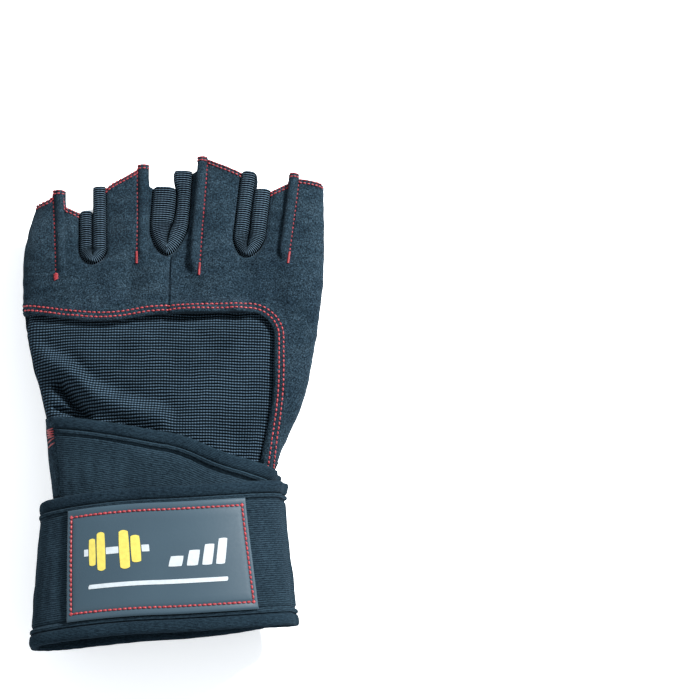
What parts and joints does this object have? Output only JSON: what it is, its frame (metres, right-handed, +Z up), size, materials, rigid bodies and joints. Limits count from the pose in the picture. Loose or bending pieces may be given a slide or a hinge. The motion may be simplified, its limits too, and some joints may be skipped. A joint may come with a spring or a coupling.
{
  "type": "weightlifting glove",
  "caption": "Left-hand half-finger weightlifting glove with suede palm, knit back window and a long wrist wrap wound shut, lying palm down.",
  "frame": {"origin": "on the surface the glove lies on, under the middle of its bounding box", "axes": "+X towards the thumb side, +Y from the wrist to the fingertips, +Z up from the palm to the back of the hand"},
  "size_m": [0.1088, 0.1806, 0.0415],
  "materials": {
    "suede": "black synthetic suede with a short nap",
    "knit": "black ribbed stretch knit",
    "strap": "black finely ribbed strap fabric",
    "binding": "black folded binding tape",
    "elastic": "black coarse woven elastic",
    "patch": "slate grey smooth plastic sheet, satin",
    "hook": "black hook tape"
  },
  "bodies": {
    "root": {"back_panel": "suede", "palm_panel": "suede", "knit_window": "knit", "gusset_pinky_ring": "knit", "gusset_ring_middle": "knit", "gusset_middle_index": "knit", "thumb_sleeve": "suede", "palm_band": "suede", "wrist_elastic": "elastic", "wrap_strap": "strap", "wrap_binding_hand": "binding", "wrap_binding_rim": "binding", "wrap_patch": "patch", "wrap_hook_tab": "hook"}
  },
  "joints": []
}
